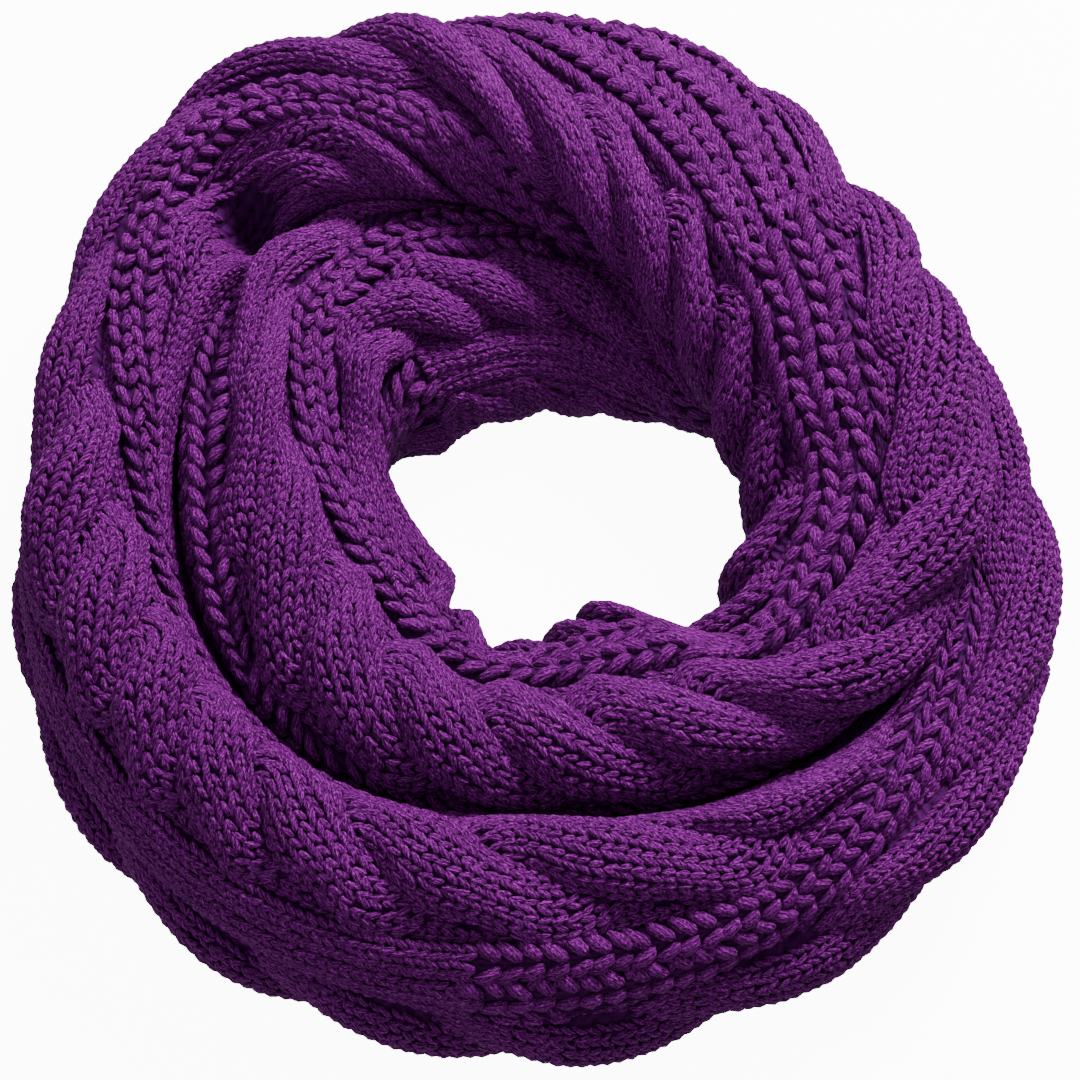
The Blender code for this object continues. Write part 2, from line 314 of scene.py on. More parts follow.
def smooth(rows, azimuth):
    """The columns after the first, on a cubic through the rows. Rows that span the whole loop close on
    themselves."""
    table = np.array(rows, float)
    x, y = table[:, 0], table[:, 1:]
    step = np.diff(x)[:, None]
    slope = np.diff(y, axis=0) / step
    tangent = np.zeros_like(y)
    tangent[1:-1] = (slope[:-1] * step[1:] + slope[1:] * step[:-1]) / (step[:-1] + step[1:])
    if x[-1] - x[0] == LOOP:
        tangent[0] = (slope[-1] * step[0] + slope[0] * step[-1]) / (step[0] + step[-1])
        tangent[-1] = tangent[0]
    i = np.clip(np.searchsorted(x, azimuth, side="right") - 1, 0, len(x) - 2)
    h = step[i]
    u = (azimuth - x[i])[:, None] / h
    return (
        (2 * u**3 - 3 * u**2 + 1) * y[i]
        + (u**3 - 2 * u**2 + u) * h * tangent[i]
        + (3 * u**2 - 2 * u**3) * y[i + 1]
        + (u**3 - u**2) * h * tangent[i + 1]
    )


def plain_curve(azimuth):
    """Each section before its relief: angles, girth up to each angle, radius, height, outward direction."""
    inner, outer, low, high = smooth(SECTIONS, azimuth).T[:, :, None]
    angle = np.linspace(0, 2 * math.pi, CURVE_SAMPLES + 1)
    across = np.sign(np.cos(angle)) * np.abs(np.cos(angle)) ** (2 / ROUNDNESS)
    up = np.sign(np.sin(angle)) * np.abs(np.sin(angle)) ** (2 / ROUNDNESS)
    r = (inner + outer) / 2 + (outer - inner) / 2 * across
    z = (low + high) / 2 + (high - low) / 2 * up
    dr = np.gradient(np.concatenate([r[:, -2:-1], r, r[:, 1:2]], 1), axis=1)[:, 1:-1]
    dz = np.gradient(np.concatenate([z[:, -2:-1], z, z[:, 1:2]], 1), axis=1)[:, 1:-1]
    length = np.hypot(dr, dz)
    girth = np.concatenate([np.zeros((len(r), 1)), np.cumsum(np.hypot(np.diff(r), np.diff(z)), 1)], 1)
    return np.degrees(angle), girth, r, z, dz / length, -dr / length


def wrapped(x, xs, ys, whole):
    """Linear reading of ys at x on a closed curve, where ys grows by whole for each lap of xs."""
    laps = np.floor(x / xs[-1])
    return np.interp(x - laps * xs[-1], xs, ys) + laps * whole


def pit_depth(azimuth, r, z):
    """How far the pit at the back left presses this place down."""
    from_start = (azimuth - START + LOOP / 2) % LOOP - LOOP / 2
    along = np.radians(from_start + START - PIT_AZIMUTH) * r
    depth = PIT_DEPTH * np.exp(-((along / PIT_ALONG) ** 2) - ((r - PIT_RADIUS) / PIT_ACROSS) ** 2)
    return depth * np.clip((z - PIT_LOW) / (PIT_HIGH - PIT_LOW), 0, 1)


class Winding:
    """The wound strip as tables over the whole loop, so that any number of points can be read at once."""

    def __init__(self):
        self.azimuth = np.arange(0, LOOP / GRID_STEP + 1) * GRID_STEP + START
        angles, girth, r, z, across, up = plain_curve(self.azimuth)
        self.whole = girth[:, -1]
        share = np.linspace(0, 1, GRID_AROUND + 1)
        self.base = np.array([
            [np.interp(share * self.whole[i], girth[i], column[i]) for column in (r, z, across, up)]
            for i in range(len(self.azimuth))
        ])
        runs = [smooth(CABLE_RUNS[name], self.azimuth)[:, 0] for name in CABLES]
        self.middles = np.array([
            [wrapped(run[i], angles, girth[i], self.whole[i]) for i in range(len(self.azimuth))]
            for run in runs
        ])
        closed = np.vstack([self.middles, self.middles[:1] + self.whole])
        self.spans = np.diff(closed, axis=0)
        narrower = np.minimum(self.spans, np.roll(self.spans, 1, axis=0))
        self.halves = np.minimum(CABLE_HALF_WIDTH, (narrower - NARROWEST_RIB_GROUP) / 2)
        self.phases = np.array([
            smooth([(place, count) for count, place in enumerate(CROSSINGS[name])], self.azimuth)[:, 0]
            for name in CABLES
        ])
        radius, height, facing = smooth(CONTACTS, (self.azimuth - START) % TURN + START).T
        own_side = np.where((self.azimuth - START) % LOOP < TURN, -1.0, 1.0)
        across, up = np.cos(np.radians(facing)) * own_side, np.sin(np.radians(facing)) * own_side
        self.contact = np.array([radius, height, across, up])

    def at(self, table, azimuth):
        return np.interp((azimuth - START) % LOOP + START, self.azimuth, table)

    def phase(self, number, azimuth):
        """How many crossings of this cable lie behind, also past the loop's start."""
        laps = np.floor((azimuth - START) / LOOP)
        return self.at(self.phases[number], azimuth) + laps * self.phases[number][-1]

    def plain(self, azimuth, along):
        """Radius, height and outward direction at this girth position, with no relief."""
        place = (azimuth - START) % LOOP / GRID_STEP
        i = np.minimum(place.astype(int), len(self.azimuth) - 2)
        t = (place - i)[..., None]
        around = along / self.at(self.whole, azimuth) % 1 * GRID_AROUND
        j = np.minimum(around.astype(int), GRID_AROUND - 1)
        u = (around - j)[..., None]
        here = self.base[i, :, j] * (1 - u) + self.base[i, :, j + 1] * u
        after = self.base[i + 1, :, j] * (1 - u) + self.base[i + 1, :, j + 1] * u
        return np.moveaxis(here * (1 - t) + after * t, -1, 0)

    def freedom(self, azimuth, r, z):
        """How far the points lie on their own turn's side of the contact plane, and the way off it."""
        radius, height, across, up = (self.at(column, azimuth) for column in self.contact)
        return (r - radius) * across + (z - height) * up - PLANE_CLEARANCE, across, up

    def surface(self, azimuth, along, relief):
        """Points at this height over the plain section, kept off the floor and on their own side of the
        contact plane, and pressed down in the pit."""
        azimuth, along, relief = np.broadcast_arrays(azimuth, along, relief)
        r, z, across, up = self.plain(azimuth, along)
        r, z = r + relief * across, z + relief * up
        free, across, up = self.freedom(azimuth, r, z)
        squeezed = PRESSED_DEPTH * np.exp(np.minimum(free, PRESSED_DEPTH) / PRESSED_DEPTH - 1)
        move = np.where(free > PRESSED_DEPTH, free, squeezed) - free
        r, z = r + move * across, z + move * up
        z = np.maximum(z - pit_depth(azimuth, r, z), 0)
        turned = np.radians(azimuth)
        return np.stack([r * np.cos(turned), r * np.sin(turned), z], axis=-1)

    def crowding(self, azimuth, along):
        """1 where a stitch is clear of the other turn, and less down in the groove between the turns."""
        r, z, _, _ = self.plain(azimuth, along)
        free = self.freedom(azimuth, r, z)[0]
        return np.clip(free / CROWDED_DISTANCE, 0, 1) * (1 - CROWDED_SIZE) + CROWDED_SIZE

    def hidden(self, azimuth, along, relief):
        """Whether the floor or the other turn hides this place, or it lies deep in the pit, where stitches
        are left off so that the dark ground shows as painted shade.
        """
        r, z, across, up = self.plain(azimuth, along)
        r, z = r + relief * across, z + relief * up
        free = self.freedom(azimuth, r, z)[0]
        return (z < HIDDEN_FLOOR) | (free < HIDDEN_CONTACT) | (pit_depth(azimuth, r, z) > BARE_PIT_PAINTED_SHADE)


winding = Winding()


def strand(phase, which):
    """A strand's middle, half width and crest. It crosses over the other slowly and goes back under it
    quickly. It is narrowest between the crossings. It is highest where it lies over the other, and lowest and
    widest under it."""
    turn = math.pi * (phase + 0.5 + which)
    middle = STRAND_SWING * np.cos(turn + STRAND_LAG * np.cos(turn))
    swell = np.sin(turn + STRAND_LEAN)
    half = STRAND_HALF_WIDTH + CROSSING_SPREAD * swell**2 - UNDER_SPREAD * swell
    return middle, half, STRAND_RISE + CROSSING_RISE * swell


def strand_height(phase, which, offset):
    """The height of one strand over the cloth, and the cable's seat beside it."""
    middle, half, crest = strand(phase, which)
    return CABLE_SEAT + crest * np.sqrt(np.clip(1 - ((offset - middle) / half) ** 2, 0, 1))


def cable_height(phase, offset):
    """The height of a cable's two strands over the cloth, at this distance from the cable's middle."""
    return np.maximum(strand_height(phase, 0, offset), strand_height(phase, 1, offset))


def creased(phase, offsets):
    """The offsets across a cable, with the nearest one moved onto each slit where the two strands meet."""
    moved = np.array(offsets, float)
    fine = np.linspace(-CABLE_HALF_WIDTH, CABLE_HALF_WIDTH, SLIT_SAMPLES)
    first, second = (strand_height(phase, which, fine) for which in (0, 1))
    meet = (np.diff(np.sign(first - second)) != 0) & (np.minimum(first, second)[1:] > CABLE_SEAT)
    for slit in fine[1:][meet]:
        moved[np.abs(moved - slit).argmin()] = slit
    return moved


def nearness(spans, number, azimuth):
    """1 within this cable's span of azimuths, and fading to 0 beyond its ends."""
    first, last = spans.get(CABLES[number], (START - TURN, START - TURN))
    return np.clip(np.minimum(azimuth - first, last - azimuth) / FINE_FADE + 1, 0, 1)


def eased(number, azimuth, height):
    """The height on a cable, flatter where the whole cable is."""
    return height + CABLE_FLATNESS * nearness(FLAT_CABLES, number, azimuth) * (FLAT_CABLE_HEIGHT - height)


def rib_form(share, width):
    """How far from the cable's edge this share of the rib columns lies, and its height. Where there is little
    room, the first column folds away and the others keep their width."""
    column = RIB_COLUMNS * share
    roomy = np.minimum(RIB_COLUMN_WIDTH, (width - FOLDED_COLUMN) / (RIB_COLUMNS - 1))
    each = np.maximum(width / RIB_COLUMNS, roomy)
    first = width - (RIB_COLUMNS - 1) * each
    place = np.where(column < 1, column * first, first + (column - 1) * each)
    rise = RIB_RISE * np.where(column < 1, np.minimum(first / FULL_HEIGHT_COLUMN, 1), 1)
    return place, RIB_VALLEY + rise * np.abs(np.sin(math.pi * column)) ** RIB_FULLNESS


def rib_surface(number, azimuth, share):
    """Girth position and height at this share of the rib columns that follow a cable."""
    following = (number + 1) % len(CABLES)
    half, half_after = (winding.at(winding.halves[one], azimuth) for one in (number, following))
    width = winding.at(winding.spans[number], azimuth) - half - half_after
    place, height = rib_form(np.clip(share, 0, 1), width)
    flattened = height + FINE_FLATNESS * nearness(FINE_RIBS, number, azimuth) * (FINE_HEIGHT - height)
    return winding.at(winding.middles[number], azimuth) + half + place, flattened


def cloth_points(azimuth, pattern, depth):
    """Points of the cloth. A pattern value of 0 to 3 goes once round: each whole number starts a cable, which
    takes CABLE_SHARE of the way to the next one, and rib columns take the rest."""
    points = np.empty((len(azimuth), len(pattern), 3))
    tables = (winding.middles, winding.halves, winding.phases)
    repeat, share = np.divmod(pattern, 1)
    for number in range(len(CABLES)):
        middle, half, phase = (winding.at(table[number], azimuth)[:, None] for table in tables)
        on_cable = (repeat == number) & (share < CABLE_SHARE)
        even = (2 * share[on_cable] / CABLE_SHARE - 1) * CABLE_HALF_WIDTH
        offset = np.array([creased(here, even) for here in phase])
        along = middle + offset * half / CABLE_HALF_WIDTH
        height = eased(number, azimuth[:, None], cable_height(phase, offset))
        points[:, on_cable] = winding.surface(azimuth[:, None], along, height - depth)
        on_rib = (repeat == number) & (share >= CABLE_SHARE)
        rib_share = (share[on_rib] - CABLE_SHARE) / (1 - CABLE_SHARE)
        along, relief = rib_surface(number, azimuth[:, None], rib_share)
        points[:, on_rib] = winding.surface(azimuth[:, None], along, relief - depth)
    return points


def pattern_lines(cable_steps, rib_steps):
    """The pattern values at which the cloth is read: this many on each cable and on the ribs after it."""
    cable = np.arange(cable_steps) / cable_steps * CABLE_SHARE
    ribs = CABLE_SHARE + np.arange(rib_steps) / rib_steps * (1 - CABLE_SHARE)
    return np.concatenate([number + np.append(cable, ribs) for number in range(len(CABLES))])


def middle_of_plan():
    """What the part's source takes off every point, so that the scarf's plan is centred on the origin."""
    lines = pattern_lines(CABLE_STEPS, 2 * RIB_COLUMNS)
    ends = [np.linspace(s.first, s.last, STATIONS_PER_STRETCH + 1) for s in STRETCHES]
    every = np.concatenate([cloth_points(azimuth, lines, 0).reshape(-1, 3) for azimuth in ends])
    middle = (every.min(axis=0) + every.max(axis=0)) / 2
    return middle * (1, 1, 0)


middle = middle_of_plan()


def row_frame(points):
    """The points in metres, centred as the part is."""
    return (points - middle) * MM


# Yarn: each leg of a stitch is a short thick piece of yarn, round in the middle, that dips in at both ends.
Legs = namedtuple("Legs", "azimuth points across normal size shade")


def leg_frames(place, azimuth, cross, lift, size, shade):
    """Points and directions along every leg. place(azimuth, cross, lift) is a point of the surface."""
    points = place(azimuth, cross, lift)
    above = place(azimuth, cross, lift + NORMAL_REACH)
    tangent = np.gradient(points, axis=1)
    tangent /= np.linalg.norm(tangent, axis=-1, keepdims=True) + 1e-9
    normal = above - points
    normal -= tangent * (normal * tangent).sum(axis=-1, keepdims=True)
    normal /= np.linalg.norm(normal, axis=-1, keepdims=True) + 1e-9
    return Legs(azimuth[:, azimuth.shape[1] // 2], points, np.cross(tangent, normal), normal, size, shade)


def degrees_for(length, point):
    """The azimuth step that covers this length at a point of the surface."""
    return np.degrees(length / np.hypot(point[..., 0], point[..., 1]))


def row_azimuths(along, relief, pitch):
    """Azimuths of the rows, the pitch apart along this line of the cloth."""
    line = winding.surface(winding.azimuth, along, relief)
    travelled = np.append(0, np.cumsum(np.linalg.norm(np.diff(line, axis=0), axis=1)))
    rows = round(travelled[-1] / pitch)
    return np.interp((np.arange(rows) + 0.5) / rows * travelled[-1], travelled, winding.azimuth)


LEG_PLACES = np.array((0.0,) + RING_PLACES + (1.0,))
rng = np.random.default_rng(SEED)


def about_one(spread, shape):
    """A factor for each leg, by which its size varies."""
    return rng.uniform(1 - spread, 1 + spread, shape)


def uneven(spread, count):
    """A small amount for each leg, by which its place varies."""
    return rng.normal(0, spread, (count, 1))


def arched(lift, dip, bend, spread, count):
    """How high the points of each leg lie: highest in its middle, and down at both ends."""
    return lift - dip * np.abs(2 * LEG_PLACES - 1) ** bend + uneven(spread, count)


def cable_legs(number):
    """Both legs of each stitch of one cable, along its two strands."""
    middles, halves = winding.middles[number], winding.halves[number]
    rows = row_azimuths(middles, STRAND_RISE / 2, STITCH_PITCH)
    spread = math.radians(STRAND_REACH)
    step = 2 * spread / STRAND_COLUMNS
    found = []
    for which in (0, 1):
        def place(azimuth, theta, lift):
            middle, half, crest = strand(winding.phase(number, azimuth), which)
            narrowed = winding.at(halves, azimuth) / CABLE_HALF_WIDTH
            along = winding.at(middles, azimuth) + (middle + half * np.sin(theta)) * narrowed
            height = eased(number, azimuth, CABLE_SEAT + crest * np.cos(theta))
            return winding.surface(azimuth, along, height + lift)

        for column in range(STRAND_COLUMNS):
            theta = -spread + (column + 0.5) * step
            phase = winding.phase(number, rows)
            middle, half, crest = strand(phase, which)
            offset, height = middle + half * math.sin(theta), CABLE_SEAT + crest * math.cos(theta)
            over = np.maximum(*(strand_height(phase, 1 - which, offset + aside) for aside in (-SLIT, SLIT)))
            narrowed = winding.at(halves, rows) / CABLE_HALF_WIDTH
            along = winding.at(middles, rows) + offset * narrowed
            shown = ~winding.hidden(rows, along, height) & (over < height + HIDDEN_STRAND)
            kept, narrowed = rows[shown], narrowed[shown]
            if not len(kept):
                continue
            here = place(kept, np.full(len(kept), theta), 0)
            for side in (-1, 1):
                length = LEG_LENGTH * about_one(SIZE_RANGE, len(kept))
                reach = degrees_for(length, here)[:, None]
                jitter = uneven(CABLE_ALONG, len(kept)) * reach
                azimuth = kept[:, None] + (0.5 - LEG_PLACES) * reach + jitter
                opening = LEG_FOOT + (LEG_HEAD - LEG_FOOT) * LEG_PLACES**LEG_OPENING
                cross = theta + side * opening * step / 2 + uneven(CABLE_ACROSS, len(kept)) * step
                lift = arched(LEG_LIFT, LEG_DIP, LEG_BEND, CABLE_UNEVENNESS, len(kept))
                wide = LEG_HALF_WIDTH * (LEAST_LEG_WIDTH + (1 - LEAST_LEG_WIDTH) * narrowed)
                wide = wide * about_one(SIZE_RANGE, len(kept))
                size = np.stack([wide, np.full(len(kept), LEG_HALF_DEPTH)], 1)
                found.append(leg_frames(place, azimuth, cross, lift, size, rng.random(len(kept))))
    return found


def ground_legs(number):
    """The small stitches of a cable's ground, in the bays that its strands leave free."""
    middles, halves = winding.middles[number], winding.halves[number]
    rows = row_azimuths(middles, CABLE_SEAT, STITCH_PITCH)

    def place(azimuth, offset, lift):
        along = winding.at(middles, azimuth) + offset * winding.at(halves, azimuth) / CABLE_HALF_WIDTH
        return winding.surface(azimuth, along, eased(number, azimuth, CABLE_SEAT) + lift)

    found = []
    for column in GROUND_COLUMNS:
        phase = winding.phase(number, rows)
        over = cable_height(phase, column)
        along = winding.at(middles, rows) + column * winding.at(halves, rows) / CABLE_HALF_WIDTH
        kept = rows[~winding.hidden(rows, along, CABLE_SEAT) & (over < CABLE_SEAT + GROUND_COVERED)]
        if not len(kept):
            continue
        here = place(kept, np.full(len(kept), column), 0)
        for side in (-1, 1):
            reach = degrees_for(LEG_LENGTH * about_one(LENGTH_RANGE, len(kept)), here)[:, None]
            azimuth = kept[:, None] + (0.5 - LEG_PLACES) * reach
            opening = GROUND_FOOT + GROUND_SLANT * LEG_PLACES
            cross = column + side * opening + uneven(GROUND_ACROSS_MM, len(kept))
            lift = arched(GROUND_LIFT, LEG_DIP, LEG_BEND, GROUND_UNEVENNESS, len(kept))
            size = np.tile((LEG_HALF_WIDTH, LEG_HALF_DEPTH), (len(kept), 1))
            found.append(leg_frames(place, azimuth, cross, lift, size, rng.random(len(kept))))
    return found


def column_width(number, azimuth, column):
    """The width of one rib column."""
    edges = [rib_surface(number, azimuth, edge / RIB_COLUMNS)[0] for edge in (column, column + 1)]
    return edges[1] - edges[0]


def fine(number, azimuth):
    """Whether the knitting after this cable is fine here."""
    first, last = FINE_RIBS.get(CABLES[number], (START, START))
    return (azimuth >= first) & (azimuth < last)


def rib_place(number):
    """The places on the ribs after this cable, by azimuth, share of the way across and lift."""
    def place(azimuth, share, lift):
        along, height = rib_surface(number, azimuth, share)
        return winding.surface(azimuth, along, height + lift)

    return place


def fine_legs(number):
    """Small stitches between one cable and the next, where the knitting is fine."""
    place = rib_place(number)
    rows = row_azimuths(rib_surface(number, winding.azimuth, 0.5)[0], RIB_RISE / 2, STITCH_PITCH)
    rows = rows[fine(number, rows)]
    found = []
    for column in range(FINE_COLUMNS if len(rows) else 0):
        share = (column + 0.5) / FINE_COLUMNS
        kept = rows[~winding.hidden(rows, *rib_surface(number, rows, share))]
        here = place(kept, np.full(len(kept), share), 0)
        for side in (-1, 1):
            reach = degrees_for(LEG_LENGTH * about_one(LENGTH_RANGE, len(kept)), here)[:, None]
            azimuth = kept[:, None] + (0.5 - LEG_PLACES) * reach
            opening = LEG_FOOT + (LEG_HEAD - LEG_FOOT) * LEG_PLACES**LEG_OPENING
            cross = share + (side * opening / 2 + uneven(FINE_ACROSS, len(kept))) / FINE_COLUMNS
            lift = arched(FINE_LIFT, LEG_DIP, LEG_BEND, FINE_UNEVENNESS, len(kept))
            size = np.tile((LEG_HALF_WIDTH, LEG_HALF_DEPTH), (len(kept), 1))
            found.append(leg_frames(place, azimuth, cross, lift, size, rng.random(len(kept))))
    return found


def rib_legs(number):
    """Both legs of each long rib stitch between one cable and the next, and the purl bars in the furrows."""
    place = rib_place(number)
    found = []
    centre = rib_surface(number, winding.azimuth, 0.5)[0]
    rows = row_azimuths(centre, RIB_RISE / 2, RIB_PITCH)
    for column, (parts, part) in itertools.product(range(RIB_COLUMNS), COLUMN_PARTS):
        share = (column + (part + 0.5) / parts) / RIB_COLUMNS
        staggered = rows + np.gradient(rows) * ((column + part) % 2) / 2
        along, height = rib_surface(number, staggered, share)
        width = column_width(number, staggered, column)
        shown = ~winding.hidden(staggered, along, height) & ~fine(number, staggered)
        shown &= (width > NARROWEST_COLUMN) & (np.where(width > WIDEST_COLUMN, 2, 1) == parts)
        kept, width = staggered[shown], (width * winding.crowding(staggered, along))[shown] / parts
        if not len(kept):
            continue
        here = place(kept, np.full(len(kept), share), 0)
        for side in (-1, 1):
            reach = degrees_for(RIB_LEG_LENGTH * about_one(LENGTH_RANGE, len(kept)), here)[:, None]
            jitter = uneven(RIB_ALONG, len(kept)) * reach
            azimuth = kept[:, None] + (0.5 - LEG_PLACES) * reach + jitter
            opening = RIB_FOOT + (RIB_HEAD - RIB_FOOT) * LEG_PLACES**RIB_OPENING
            cross = share + (side * opening / 2 + uneven(RIB_ACROSS, len(kept))) / RIB_COLUMNS / parts
            lift = arched(RIB_LIFT, RIB_DIP, RIB_BEND, RIB_UNEVENNESS, len(kept))
            wide = np.minimum(RIB_LEG_HALF_WIDTH, RIB_LEG_SHARE * width)
            wide = wide * about_one(SIZE_RANGE, len(kept))
            size = np.stack([wide, np.minimum(RIB_LEG_HALF_DEPTH, wide)], 1)
            found.append(leg_frames(place, azimuth, cross, lift, size, rng.random(len(kept))))
    for furrow in range(1, RIB_COLUMNS):
        share = furrow / RIB_COLUMNS
        bars = rows + np.gradient(rows) * (BAR_PLACE + furrow % 2 / 2)
        along, height = rib_surface(number, bars, share)
        beside = np.minimum(column_width(number, bars, furrow - 1), column_width(number, bars, furrow))
        crowding = winding.crowding(bars, along)
        shown = ~winding.hidden(bars, along, height) & ~fine(number, bars)
        shown &= beside > NARROWEST_BAR_COLUMN
        kept, crowding = bars[shown], crowding[shown]
        if not len(kept):
            continue
        slant = degrees_for(BAR_SLANT, place(kept, np.full(len(kept), share), 0))[:, None]
        azimuth = kept[:, None] + slant * uneven(1, len(kept)) * (LEG_PLACES - 0.5)
        cross = share + (LEG_PLACES - 0.5) * BAR_SPAN / RIB_COLUMNS * about_one(BAR_RANGE, (len(kept), 1))
        lift = arched(BAR_LIFT, BAR_DIP, BAR_BEND, RIB_UNEVENNESS, len(kept))
        thick = BAR_HALF_WIDTH * crowding * about_one(BAR_RANGE, len(kept))
        size = np.stack([thick, thick], 1)
        found.append(leg_frames(place, azimuth, cross, lift, size, rng.random(len(kept))))
    return found


def joined(parts, keep):
    """The legs of several lists in one, those that keep() says."""
    chosen = [keep(part.azimuth) for part in parts]
    return Legs(*(np.concatenate([field[on] for field, on in zip(fields, chosen)]) for fields in zip(*parts)))


def add_uv(mesh, name, uv):
    """A layout on the mesh, with one place for each corner."""
    mesh.uv_layers.new(name=name).data.foreach_set("uv", uv.astype(np.float32).ravel())


def inset(uv, margin):
    """The same layout with a margin all round."""
    return margin + (1 - 2 * margin) * uv


def quad_mesh(name, points, faces):
    """A smooth mesh of the winding's points, which are in a grid."""
    mesh = bpy.data.meshes.new(name)
    mesh.from_pydata(row_frame(points).reshape(-1, 3).tolist(), [], faces.tolist())
    mesh.shade_smooth()
    return mesh


def leg_faces():
    """The faces of one leg, as the numbers of its points, and each corner's place round it and along it."""
    last = 1 + RINGS * SIDES
    faces, places = [], []
    for j in range(SIDES):
        k = (j + 1) % SIDES
        left, right, half = j / SIDES, (j + 1) / SIDES, (j + 0.5) / SIDES
        faces.append((0, 1 + j, 1 + k))
        places.append(((half, 0.0), (left, LEG_PLACES[1]), (right, LEG_PLACES[1])))
        for ring in range(RINGS - 1):
            low, high = 1 + ring * SIDES, 1 + (ring + 1) * SIDES
            near, far = LEG_PLACES[1 + ring], LEG_PLACES[2 + ring]
            faces.append((low + k, low + j, high + j, high + k))
            places.append(((right, near), (left, near), (left, far), (right, far)))
        top = last - SIDES
        faces.append((last, top + k, top + j))
        places.append(((half, 1.0), (right, LEG_PLACES[-2]), (left, LEG_PLACES[-2])))
    return faces, places


def leg_mesh(name, legs):
    """One mesh of many legs. Each has rings of points, and a tip at both ends."""
    count = len(legs.points)
    around = np.arange(SIDES) / SIDES * 2 * math.pi - math.pi / 2
    rings = []
    for ring, relative in enumerate(RING_SIZES, start=1):
        wide = (legs.size[:, 0] * relative)[:, None, None] * legs.across[:, ring][:, None]
        deep = (legs.size[:, 1] * relative)[:, None, None] * legs.normal[:, ring][:, None]
        middles = legs.points[:, ring][:, None]
        rings.append(middles + np.cos(around)[:, None] * wide + np.sin(around)[:, None] * deep)
    points = np.concatenate([legs.points[:, :1], *rings, legs.points[:, -1:]], axis=1)
    points[..., 2] = np.maximum(points[..., 2], 0)
    per_leg = points.shape[1]
    faces, places = leg_faces()
    corners = np.concatenate([np.array(face) for face in faces])
    sizes = np.array([len(face) for face in faces])
    uv = np.concatenate([np.array(place) for place in places])
    every_corner = (corners[None] + np.arange(count)[:, None] * per_leg).ravel()
    starts = np.append(0, np.cumsum(np.tile(sizes, count)))[:-1]

    mesh = bpy.data.meshes.new(name)
    mesh.vertices.add(count * per_leg)
    mesh.vertices.foreach_set("co", row_frame(points).astype(np.float32).ravel())
    mesh.loops.add(len(every_corner))
    mesh.loops.foreach_set("vertex_index", every_corner.astype(np.int32))
    mesh.polygons.add(len(starts))
    mesh.polygons.foreach_set("loop_start", starts.astype(np.int32))
    mesh.update(calc_edges=True)
    mesh.shade_smooth()

    side = math.ceil(math.sqrt(count))
    cell = np.stack(np.divmod(np.arange(count), side)[::-1], 1) / side
    add_uv(mesh, "OFBake", cell[:, None] + inset(uv[None], LEG_MARGIN) / side)
    length = np.linalg.norm(np.diff(legs.points, axis=1), axis=-1).sum(axis=1)
    yarn_size = np.stack([2 * math.pi * legs.size[:, 0], length], 1)[:, None]
    add_uv(mesh, "Yarn", uv[None] * yarn_size + legs.shade[:, None, None] * SHADE_SHIFT)
    shade = mesh.attributes.new("shade", "FLOAT", "POINT")
    shade.data.foreach_set("value", np.repeat(legs.shade, per_leg).astype(np.float32))
    return mesh


def cloth_mesh(name, stretch):
    """The cloth under the stitches: a tube that is open at both ends, on the solid's form."""
    azimuth = np.linspace(stretch.first, stretch.last, CLOTH_STATIONS + 1)
    lines = pattern_lines(CLOTH_CABLE_STEPS, CLOTH_RIB_STEPS)
    points = cloth_points(azimuth, lines, CLOTH_DEPTH)
    rows, columns = points.shape[:2]
    index = np.arange(rows * columns).reshape(rows, columns)
    after = np.roll(index, -1, axis=1)
    faces = np.stack([index[:-1], after[:-1], after[1:], index[1:]], axis=-1)[..., ::-1].reshape(-1, 4)
    mesh = quad_mesh(name, points, faces)
    row, column = np.divmod(np.arange(len(faces)), columns)
    corner_row = np.stack([row + 1, row + 1, row, row], 1)
    corner_column = np.stack([column, column + 1, column + 1, column], 1)
    travelled = np.linalg.norm(np.diff(points.mean(axis=1), axis=0), axis=1)
    length = travelled.sum()
    girth = np.linalg.norm(points - np.roll(points, -1, axis=1), axis=-1).sum(axis=1).mean()
    around = np.append(lines, len(CABLES)) / len(CABLES)
    uv = np.stack([around[corner_column], corner_row / (rows - 1)], -1)
    add_uv(mesh, "OFBake", inset(uv, CLOTH_MARGIN))
    add_uv(mesh, "Knit", uv * (girth, length))
    return mesh, girth * MM, length * MM


def tuck_mesh(name):
    """The cloth that shows at the bottom of the gap between the turns."""
    azimuth = np.radians(np.linspace(*TUCK_AZIMUTHS, TUCK_STEPS[0] + 1))[:, None]
    across = np.linspace(-1, 1, TUCK_STEPS[1] + 1)
    r = sum(TUCK_RADII) / 2 + across * (TUCK_RADII[1] - TUCK_RADII[0]) / 2
    height = TUCK_HEIGHT + TUCK_RISE * across**2 + 0 * azimuth
    points = np.stack([r * np.cos(azimuth), r * np.sin(azimuth), height], axis=-1)
    rows, columns = height.shape
    index = np.arange(rows * columns).reshape(rows, columns)
    faces = np.stack([index[:-1, :-1], index[:-1, 1:], index[1:, 1:], index[1:, :-1]], axis=-1).reshape(-1, 4)
    mesh = quad_mesh(name, points, faces)
    uv = np.stack([faces % columns / (columns - 1), faces // columns / (rows - 1)], -1)
    add_uv(mesh, "OFBake", inset(uv, CLOTH_MARGIN))
    size = (TUCK_RADII[1] - TUCK_RADII[0], np.ptp(azimuth) * sum(TUCK_RADII) / 2)
    add_uv(mesh, "Knit", uv * size)
    return mesh


def nodes_of(name):
    """A new material, its tree and its shader."""
    material = bpy.data.materials.new(name)
    material.use_nodes = True
    tree = material.node_tree
    return material, tree, tree.nodes["Principled BSDF"]


def math_node(tree, operation, *values):
    """A math node on these values, each a number or another node's socket."""
    node = tree.nodes.new("ShaderNodeMath")
    node.operation = operation
    for socket, value in zip(node.inputs, values):
        if isinstance(value, bpy.types.NodeSocket):
            tree.links.new(value, socket)
        else:
            socket.default_value = value
    return node.outputs[0]


